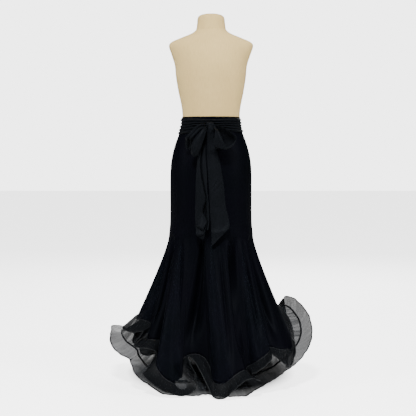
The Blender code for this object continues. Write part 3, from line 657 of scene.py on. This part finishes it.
# Underskirt: a sheer flounce in four quarters, sewn inside the skirt below the knee, with its
# own wide braid, a thick corded seam above it and a cord along its edge.
UNDER_BRAID = 0.072
FLOUNCE_DROP = 1.30
FLOUNCE_INSET = 0.0020
FLOUNCE_EASE = 0.260
FLOUNCE_HOLLOW = 0.0040
FLOUNCE_WAVE = 0.0020
UNDER_FOLDS = (  # as HEM_FOLDS
    (-170, -172, 225, 105, 48, 0), (-156, -158, 335, 50, 60, 0), (-143, -144, 235, 120, 46, 0),
    (-130, -128, 315, 80, 60, 0), (-117, -113, 290, 160, 80, -10),
    (-110, -106, 350, 175, 105, -10), (-104, -99.5, 368, 187, 104, 45),
    (-99, -95, 375, 189, 99, 58), (-94, -90, 374, 182, 92, 52), (-89, -85, 366, 170, 77, 41),
    (-84, -80, 354, 157, 70, 38), (-80, -75, 343, 148, 65, 40), (-76, -69, 334, 143, 65, 45),
    (-72, -63.5, 335, 137, 67, 43), (-68, -59, 344, 127, 82, 36), (-64, -55, 348, 115, 74, 29),
    (-60, -51, 347, 101, 62, 22), (-55, -46, 345, 85, 54, 24), (-50, -41, 341, 71, 52, 25),
    (-44, -32.8, 357, 61, 40, 30), (-37, -25.8, 361, 51, 41, 37), (-30, -20, 356, 45, 46, 43),
    (-23, -14.5, 346, 47, 48, 43), (-16, -9.7, 330, 51, 53, 34), (-9, -4.3, 321, 52, 51, 25),
    (-2, 1.2, 335, 51, 47, 16), (6, 6.1, 357, 51, 41, 17), (14, 11.4, 367, 53, 36, 20),
    (22, 17.4, 362, 57, 42, 15), (30, 23.3, 354, 63, 55, 2), (38, 31.8, 329, 65, 62, -9),
    (46, 38.5, 331, 73, 67, -17), (54, 46.5, 335, 85, 72, -26), (62, 54.3, 341, 101, 73, -33),
    (69, 62.5, 347, 118, 71, -39), (76, 70.5, 358, 137, 75, -42), (83, 79, 369, 162, 84, -46),
    (90, 87, 377, 193, 93, -52), (96, 93, 373, 230, 101, -57), (102, 99.5, 361, 257, 109, -64),
    (107, 105, 349, 275, 118, -73), (111, 109, 341, 281, 127, -86),
    (115, 113.5, 329, 277, 133, -98), (119, 118, 314, 255, 125, -80),
    (124, 123, 290, 180, 80, -30), (132, 131, 230, 115, 46, 0), (143, 144, 315, 65, 60, 0),
    (155, 156, 230, 105, 48, 0), (167, 169, 330, 48, 58, 0), (178, 179, 315, 52, 58, 0),
)
UNDER_ROWS = all_round(UNDER_FOLDS)
QUARTERS = ("far", "left", "near", "right")


def under_point(turn, drop):
    """Middle of the underskirt's cloth. Drop 0 is its seam inside the skirt, 1 its hem seam,
    2 the edge of its braid."""
    turn, drop = np.broadcast_arrays(np.asarray(turn, float), np.asarray(drop, float))
    sewn_on = np.full(turn.shape, FLOUNCE_DROP)
    top = skirt_point(turn, sewn_on) - FLOUNCE_INSET * outward(skirt_point, turn, sewn_on)
    seam, edge = hem_lines(UNDER_ROWS, turn, UNDER_BRAID)
    flared = flare(top, seam, np.minimum(drop, 1), FLOUNCE_EASE)
    braid = seam + (edge - seam) * np.maximum(drop - 1, 0)[..., None]
    return np.where((drop > 1)[..., None], braid, flared)


def under_folds(turn, drop):
    """Folds finer than the underskirt's table: its top edge follows the skirt's own folds, and
    lower down waves of its own grow."""
    angle = np.radians(turn)
    t = np.clip(drop, 0, 1)
    own = np.sin(23 * angle + 1.3 + drop) + 0.6 * np.sin(41 * angle + 3.1 - drop)
    sewn = soft_folds(turn, FLOUNCE_DROP + 0.55 * t)
    hollow = FLOUNCE_HOLLOW * np.sin(math.pi * t)
    return sewn * (1 - t * t) ** 1.2 - hollow + FLOUNCE_WAVE * own * t ** 1.5


sheer_net = net_finish("sheer_underskirt_net", (0.002, 0.003, 0.004), (0.009, 0.011, 0.013),
                       0.83, thread=0.0012)
under_braid = net_finish("sheer_net_braid", (0.003, 0.004, 0.005), (0.018, 0.020, 0.023), 0.785,
                         gathers=0.03, width=UNDER_BRAID)
seam_cord = cord_finish("underskirt_seam_cord", (0.003, 0.0035, 0.0045))

for q, place in enumerate(QUARTERS):
    turns = turns_of(-180 + 90 * q - 22.5, 90, 190)
    top, normal = lifted(under_point, under_folds, turns, np.ones(len(turns)))
    corded = cord_along("underskirt_seam_cord_" + place, top, normal, seam_cord,
                        thick=0.0060, wide=0.0075)
    flounce, _ = lifted(under_point, under_folds,
                        *np.meshgrid(turns, np.linspace(0, 0.994, 52)))
    cloth_piece("underskirt_cloth_" + place, flounce, sheer_net, "sheer_net",
                "underskirt_" + place)
    points = braid_cloth(turns, 1.0, under_point, under_folds)
    edging = cord_along("underskirt_edge_cord_" + place, points[-1], normal, hem_cord,
                        thick=0.0028, wide=0.0040)
    cloth_piece("underskirt_braid_cloth_" + place, points, under_braid, "net_braid",
                "underskirt_braid_" + place)

# Sash round the waist: a long strip of georgette wound round in five soft folds that lap
# over one another and draw together towards the knot.
SASH_FOLDS = 5
SASH_GAP = 0.0010
SASH_SWELL = 0.0022
CRINKLE = 0.0004
SASH_WRAP = (  # turn, top, bottom, how far the folds stand out
    (-180, 1.082, 1.018, 0.0040),
    (-90, 1.081, 1.014, 0.0022),
    (-45, 1.079, 1.018, 0.0055),
    (-15, 1.076, 1.026, 0.0075),
    (0, 1.074, 1.030, 0.0080),
    (15, 1.075, 1.030, 0.0075),
    (45, 1.079, 1.026, 0.0055),
    (90, 1.081, 1.023, 0.0022),
    (180, 1.082, 1.018, 0.0040),
)


def georgette_finish():
    """Georgette: soft, matt and a little crinkled, greyer and lighter than the skirt."""
    made, tree, shader, place = new_finish("black_georgette", 0.58, specular=0.035, sheen=0.008,
                                           tint=(0.80, 0.90, 1.0))
    join(tree, shader, {
        "Base Color": blend_of(tree, noise(tree, place["Object"], 22.0),
                               (0.0019, 0.0023, 0.0030), (0.0032, 0.0037, 0.0048)),
        "Normal": bump(tree, noise(tree, place["Object"], 900.0, 3.0), 0.45, 0.0004)})
    return made


georgette = georgette_finish()


def body_ring_down(turn, below):
    """The fitted oval, by its distance below the top of the waistband."""
    return body_ring(turn, WAIST_TOP - np.asarray(below, float))


def lapped(share, folds):
    """Side view of lapped folds: each swells slowly from under the one above it, then turns in
    quickly over the next."""
    place = (share * folds) % 1
    return np.sin(math.pi * place ** 1.5) ** 0.7


def sash_cloth(first):
    """Half of the sash: its height falls with the share of its width, and its folds stand out
    along the waist's own normal, wandering and pinching a little on their way round."""
    turn, share = np.meshgrid(turns_of(first, 180, 170), np.linspace(0, 1, 57))
    angle = np.radians(turn)
    top, bottom, depth = columns_at(SASH_WRAP, turn)
    wander = 0.022 * np.sin(5 * angle + 7 * share + 0.5) + 0.014 * np.sin(11 * angle + 2)
    moved = np.clip(share + wander * np.sin(math.pi * share), 0, 1 - 1e-6)
    pinch = 1 + 0.22 * np.sin(7 * angle + 9 * share) + 0.10 * np.sin(23 * angle + 5 * share)
    out = SASH_GAP + (depth + SASH_SWELL) * lapped(moved, SASH_FOLDS) * pinch
    out = out + CRINKLE * np.sin(38 * angle + 14 * share) * np.sin(math.pi * share)
    height = top + (bottom - top) * share
    normal = outward(body_ring_down, turn, WAIST_TOP - height)
    return body_ring(turn, height) + out[..., None] * normal


for place, first in (("left", -180), ("right", 0)):
    cloth_piece("sash_cloth_" + place, sash_cloth(first), georgette, "georgette",
                "sash_wrap_" + place)

# Bow of the sash: the knot, two loops to the left, one to the right and two hanging tails,
# all of the same strip of georgette with its edges rolled and sewn.
KNOT_CENTRE = (-0.004, -0.1144, 1.050)
KNOT_HALF = (0.017, 0.0125, 0.014)
KNOT_FOLDS = 7
KNOT_SWELL = 0.075
# Ribs across each loop's strip, from the knot round and back to it: share of the way, then, in
# millimetres, x, height and distance out (-Y) of its near edge, its middle and its far edge.
LOOP_RIGHT = (
    (0.00, 13, 1050, 118, 10, 1043, 122, 9, 1037, 124),
    (0.10, 29, 1048, 126, 24, 1039, 115, 15, 1027, 112),
    (0.20, 45, 1043, 136, 35, 1025, 112, 20, 1012, 111),
    (0.30, 66, 1030, 144, 49, 1005, 112, 25, 995, 111),
    (0.40, 85, 1017, 149, 59, 987, 112, 28, 979, 111),
    (0.47, 99, 1006, 149, 67, 972, 119, 30, 969, 114),
    (0.53, 103, 996, 147, 73, 962, 139, 30, 961, 124),
    (0.58, 93, 982, 151, 68, 956, 152, 25, 955, 138),
    (0.64, 78, 968, 158, 55, 953, 161, 16, 958, 150),
    (0.72, 61, 961, 166, 36, 957, 169, 8, 969, 158),
    (0.80, 52, 975, 173, 32, 982, 172, 10, 989, 160),
    (0.88, 44, 997, 170, 27, 1007, 169, 13, 1012, 158),
    (0.94, 35, 1017, 158, 23, 1024, 158, 15, 1027, 150),
    (1.00, 20, 1038, 131, 16, 1040, 132, 13, 1040, 131),
)
LOOP_LEFT_UPPER = (
    (0.00, -25, 1053, 122, -24, 1046, 126, -24, 1039, 121),
    (0.12, -41, 1055, 130, -39, 1044, 138, -36, 1031, 131),
    (0.25, -61, 1047, 133, -56, 1034, 144, -51, 1017, 136),
    (0.37, -81, 1027, 136, -72, 1017, 148, -62, 1005, 140),
    (0.46, -98, 1009, 138, -84, 1003, 148, -69, 996, 142),
    (0.50, -106, 1000, 137, -89, 996, 143, -73, 993, 140),
    (0.54, -106, 992, 130, -89, 990, 132, -73, 989, 132),
    (0.62, -105, 973, 121, -90, 973, 120, -76, 972, 122),
    (0.72, -99, 955, 118, -91, 953, 117, -82, 952, 119),
    (0.85, -69, 985, 116, -63, 988, 117, -57, 991, 117),
    (1.00, -27, 1036, 115, -25, 1034, 115, -23, 1031, 115),
)
LOOP_LEFT_LOWER = (
    (0.00, -21, 1045, 132, -19, 1039, 134, -17, 1031, 128),
    (0.10, -37, 1033, 144, -28, 1025, 149, -20, 1018, 138),
    (0.22, -56, 1012, 152, -41, 1004, 159, -26, 997, 142),
    (0.34, -73, 986, 157, -54, 980, 165, -34, 974, 144),
    (0.43, -82, 962, 158, -62, 956, 166, -43, 953, 146),
    (0.48, -83, 943, 153, -66, 939, 162, -48, 939, 146),
    (0.52, -80, 931, 146, -65, 927, 153, -50, 929, 144),
    (0.57, -75, 928, 140, -63, 923, 143, -50, 927, 139),
    (0.66, -70, 945, 137, -58, 943, 137, -47, 945, 137),
    (0.78, -58, 981, 133, -46, 979, 133, -34, 977, 133),
    (0.90, -41, 1016, 127, -32, 1013, 127, -24, 1010, 127),
    (1.00, -25, 1036, 120, -21, 1034, 120, -17, 1032, 120),
)


def knot_surface(turn, rise):
    """Rounded pad with slanting folds wrapped over it: an oval ball whose skin rises and falls
    in lapped waves along lines that lean with the height."""
    polar = math.pi * rise
    wave = lapped((turn / 360 + 0.10 * np.cos(polar)) % 1, KNOT_FOLDS) - 0.5
    swell = 1 + KNOT_SWELL * wave * np.sin(polar) ** 0.7
    ball = oval_point(np.radians(turn), np.sin(polar), np.sin(polar), np.cos(polar))
    return ball * np.array(KNOT_HALF) * swell[..., None] + np.array(KNOT_CENTRE)


KNOT_RADIUS = 0.015  # mean radius, for lengths round the knot and over it
KNOT_FALL = 0.045
turn, rise = np.meshgrid(np.linspace(0, 360, 84, endpoint=False), np.linspace(0.02, 0.98, 48))
knot_ends = np.array(KNOT_CENTRE) + np.array(((0, 0, KNOT_HALF[2]), (0, 0, -KNOT_HALF[2])))
padded_piece("sash_knot_cloth", knot_surface(turn, rise), knot_ends,
             grid_of(np.radians(turn) * KNOT_RADIUS, rise * KNOT_FALL), ((0, 0), (0, KNOT_FALL)),
             georgette, "sash_knot")


def strip_point(ribs, across, along):
    """Strip of cloth through its ribs: a smooth curve along each edge and along the middle,
    and across them the arc that passes through all three."""
    columns = columns_at(ribs, along)
    near, middle, far = (grid_of(x, -out, height)
                         for x, height, out in (columns[:3], columns[3:6], columns[6:]))
    t = across[..., None]
    point = near * (1 - t) * (1 - 2 * t) + middle * 4 * t * (1 - t) + far * t * (2 * t - 1)
    return point / 1000


def loop_cloth(ribs, pleats, first, last, turned):
    """Loop of the bow: a strip through its ribs, laid in deep pleats where the knot gathers it,
    which wander a little and open out towards the fold; each side has a rolled edge."""
    across, along = np.meshgrid(np.linspace(0, 1, 73), np.linspace(0, 1, 150))
    points = strip_point(ribs, across, along)
    gathered = 0.45 + 0.55 * np.abs(2 * along - 1) ** 1.3
    ends = np.clip(np.minimum(along, 1 - along) / 0.06, 0.2, 1)
    wander = 0.08 * np.sin(6 * along + turned) + 0.04 * np.sin(17 * along + 2 * turned)
    pleat = np.sin(2 * math.pi * (pleats * across + turned + wander))
    fine = 0.15 * np.sin(2 * math.pi * (2.6 * pleats * across + 2 * along) + turned)
    sides = bell(across, 0.05) + bell(1 - across, 0.05)
    depth = first + (last - first) * along
    lift = depth * gathered * ends * (pleat + fine) * (1 - 0.8 * sides) + 0.0012 * sides
    normal = unit(np.cross(np.gradient(points, axis=0), np.gradient(points, axis=1)))
    return points - lift[..., None] * normal


for name, ribs, pleats, first, last, turned in (
        ("sash_loop_right", LOOP_RIGHT, 1.0, 0.0020, 0.0035, 0.55),
        ("sash_loop_left_upper", LOOP_LEFT_UPPER, 2.0, 0.0080, 0.0005, 0.25),
        ("sash_loop_left_lower", LOOP_LEFT_LOWER, 1.2, 0.0035, 0.0015, 0.30)):
    cloth_piece(name + "_cloth", loop_cloth(ribs, pleats, first, last, turned), georgette,
                "georgette", name)

# Tails, in thousandths: distance down each, then x and height of its two edges, and its
# distance out.
RIGHT_TAIL = np.array((
    (0, -9.5, 1050, 3, 1050, 126),
    (50, -14, 1038, 8.5, 1038, 132),
    (140, -15.8, 990, 11, 990, 129),
    (250, -16.5, 935, 27, 935, 130),
    (440, -10.5, 826, 48, 832, 136.5),
    (690, -4.5, 707, 60, 720, 139.5),
    (870, 0.5, 622, 72, 668, 148),
    (1000, 2.8, 562, 74.5, 635, 160),
)) / 1000
RIGHT_TAIL_CREASES = (  # share across and down where each starts, slope, reach, depth
    (0.66, 0.440, 0.163, 0.50, 0.0026),
    (0.90, 0.465, 0.127, 0.62, 0.0018),
    (0.60, 0.665, 0.090, 0.45, 0.0016),
    (0.75, 0.250, 0.120, 0.50, 0.0010),
)
LEFT_TAIL = np.array((  # in thousandths: way down, height, x of left edge, fold, right edge, out
    (0, 1035.7, -12.4, -8.7, -6, 115),
    (110, 990, -38.5, -30, -18, 119.2),
    (250, 931, -52, -41.6, -19, 129),
    (440, 849, -60.5, -41.6, -16.5, 142),
    (570, 790, -62.5, -30.3, -15, 147),
    (660, 751, -63.5, -23.8, -11, 148),
    (800, 692, -65, -32.5, -7.5, 149),
    (870, 662, -64.5, -18, -7.2, 152),
    (920, 640, -62.5, -19.5, -7.5, 154),
    (1000, 606, -60.5, -26, -11, 158),
)) / 1000
LEFT_TAIL_FOLD = (  # share across, share of the way to the fold, back, lift
    (0.00, 0.00, 0.0015, 0.000),
    (0.25, 0.45, -0.0050, -0.010),
    (0.45, 0.88, -0.0020, -0.013),
    (0.54, 1.00, 0.0030, 0.004),
    (0.63, 0.96, 0.0150, 0.010),
    (0.72, 1.00, 0.0170, 0.022),
    (0.82, 1.00, 0.0050, 0.022),
    (0.92, 1.00, 0.0035, 0.020),
    (1.00, 1.00, 0.0080, 0.022),
)


def right_tail_point(across, down):
    """Right tail: round where it leaves the knot, then flat between its two edges, with slanting
    creases, a fold turned back across its pointed end and a rolled edge down each side."""
    left_x, left_z, right_x, right_z, out = columns_at(RIGHT_TAIL, down)
    x = left_x + (right_x - left_x) * across
    z = left_z + (right_z - left_z) * across
    grown = np.minimum(1, 4 * down)
    out = out + 0.0070 * np.sin(math.pi * across) * bell(down, 0.13)
    out = out + 0.0026 * np.sin(2 * math.pi * (0.85 * across + 0.10)) * grown
    out = out + 0.0008 * np.sin(5 * across + 21 * down) * grown
    for start, level, slope, reach, depth in RIGHT_TAIL_CREASES:
        off = down - level - slope * (start - across)
        inside = np.clip((start - across) / 0.08, 0, 1)
        inside = inside * np.clip((across - start + reach) / 0.08, 0, 1)
        out = out + depth * inside * (0.8 * bell(off + 0.016, 0.012) - bell(off, 0.008))
    turned = down - 0.885 - 0.115 * across
    out = out + 0.0036 * bell(turned, 0.026) - 0.0030 * np.clip(turned / 0.05, 0, 1)
    edge = 0.0011 * (bell(across, 0.03) + bell(1 - across, 0.03) + bell(1 - down, 0.008)) * grown
    return grid_of(x, -(out + edge) + 2.0 * np.maximum(x, 0) ** 2, z)


def left_tail_point(across, down):
    """Left tail: a wide fold laid over a narrow one with a deep gap between them, its end
    folded back on itself in two ledges that slant up to both sides."""
    height, left_x, fold_x, right_x, out = columns_at(LEFT_TAIL, down)
    to_fold, back, lift = columns_at(LEFT_TAIL_FOLD, across)
    gap = np.interp(down, (0.5, 0.8, 0.86), (0.12, 0.56, 0.20))
    past = np.where(across < 0.76, gap * np.clip((across - 0.63) / 0.13, 0, 1),
                    gap + (1 - gap) * (across - 0.76) / 0.24)
    x = left_x + (fold_x - left_x) * to_fold + (right_x - fold_x) * past
    z = height + lift * down ** 8
    back = back * np.interp(down, (0, 0.45, 0.60), (0.4, 0.7, 1.0))
    left_of, right_of = np.maximum(-0.033 - x, 0), np.maximum(x + 0.033, 0)
    first = 0.81 + 3.2 * left_of + 3.7 * right_of
    second = 0.925 - 0.9 * left_of - 3.7 * right_of
    third = 0.964 + 1.1 * left_of - 3.4 * right_of
    for start, end, depth in ((first, second, 0.0140), (second, third, 0.0120)):
        ledge = np.clip((down - start) / np.maximum(end - start, 0.01), 0, 1)
        ledge = ledge * np.clip((end + 0.008 - down) / 0.008, 0, 1)
        out = out + depth * ledge * np.clip((0.60 - across) / 0.05, 0, 1)
    ripple = 0.0007 * np.sin(15 * across + 4 * down) * np.minimum(1, 4 * down)
    return grid_of(x, -out - ripple + back, z)


for place, tail, columns in (("right", right_tail_point, 57), ("left", left_tail_point, 81)):
    across, down = np.meshgrid(np.linspace(0, 1, columns), np.linspace(0.002, 1, 120))
    cloth_piece("sash_tail_cloth_" + place, tail(across, down), georgette, "georgette",
                "sash_tail_" + place)

# Studio: a wide pale floor with a painted oval shade under and behind the skirt, an even white
# surround, a soft lamp high at the front left, weaker ones at the right and the left, and one
# behind that shines through the nets.
SEEN_WHITE = 4.2  # how bright the surround looks, next to the light that it gives
GIVEN_LIGHT = 0.035
FLOOR_HALF = 20
# Painted shade on the floor: the middle of its oval and its half sizes.
SHADE_MIDDLE = (0.0, 0.12, 0.0)
SHADE_HALF = (0.33, 0.45, 1.0)
LAMP_AIM = (0, 0, 0.6)


def seen_or_lit(tree, seen, lit):
    """A strength that is one number where the surface is looked at, another where it lights."""
    rays = tree.nodes.new("ShaderNodeLightPath").outputs["Is Camera Ray"]
    return node_in(tree, "ShaderNodeMix", {"Factor": rays, "A": lit, "B": seen},
                   data_type="FLOAT").outputs["Result"]


def floor_finish():
    """Pale matt floor with the faintest mottling, as white to look at as the surround, save
    under and behind the skirt, where a painted oval shade fades its glow almost to nothing."""
    made, tree, shader, place = new_finish("pale_floor", 0.9, specular=0.1)
    oval = node_in(tree, "ShaderNodeMapping", {
        "Vector": place["Object"], "Location": SHADE_MIDDLE, "Scale": SHADE_HALF},
        vector_type="TEXTURE")
    out = node_in(tree, "ShaderNodeVectorMath", {0: oval.outputs["Vector"]}, operation="LENGTH")
    # Painted shade: inside the oval the floor's glow is faded to a hundredth, as if the skirt
    # shaded it.
    clear_of_painted_shade = remap(tree, out.outputs["Value"], 0.88, 1.10, 0.01, 1.0)
    join(tree, shader, {
        "Base Color": blend_of(tree, noise(tree, place["Object"], 1.5), (0.90, 0.90, 0.90),
                               (0.93, 0.93, 0.93)),
        "Emission Color": (1, 1, 1, 1),
        "Emission Strength": maths(tree, "MULTIPLY",
                                   seen_or_lit(tree, SEEN_WHITE - 1.1, 0.0), clear_of_painted_shade)})
    return made


floor_corners = np.array(((-1, -1, 0), (1, -1, 0), (1, 1, 0), (-1, 1, 0)), float)
floor = piece_from("floor", FLOOR_HALF * floor_corners, [(0, 1, 2, 3)], floor_finish())

surround = bpy.data.worlds.new("surround")
surround.use_nodes = True
around = surround.node_tree.nodes["Background"]
around.inputs["Color"].default_value = (1, 1, 1, 1)
surround.node_tree.links.new(seen_or_lit(surround.node_tree, SEEN_WHITE, GIVEN_LIGHT),
                             around.inputs["Strength"])
bpy.context.scene.world = surround


def soft_lamp(name, place, size, power):
    """Square area lamp at a place, turned to face the skirt."""
    lamp = bpy.data.lights.new(name, "AREA")
    lamp.size = size
    lamp.energy = power
    made = bpy.data.objects.new(name, lamp)
    made.location = place
    made.rotation_euler = (Vector(LAMP_AIM) - Vector(place)).to_track_quat("-Z", "Y").to_euler()
    bpy.context.collection.objects.link(made)


soft_lamp("lamp_front", (-0.4, -2.8, 4.4), 0.7, 370)
soft_lamp("lamp_right", (3.2, -1.9, 2.2), 0.8, 130)
soft_lamp("lamp_left", (-3.2, -1.4, 2.1), 0.8, 75)
soft_lamp("lamp_behind", (0.5, 3.8, 2.8), 1.6, 170)
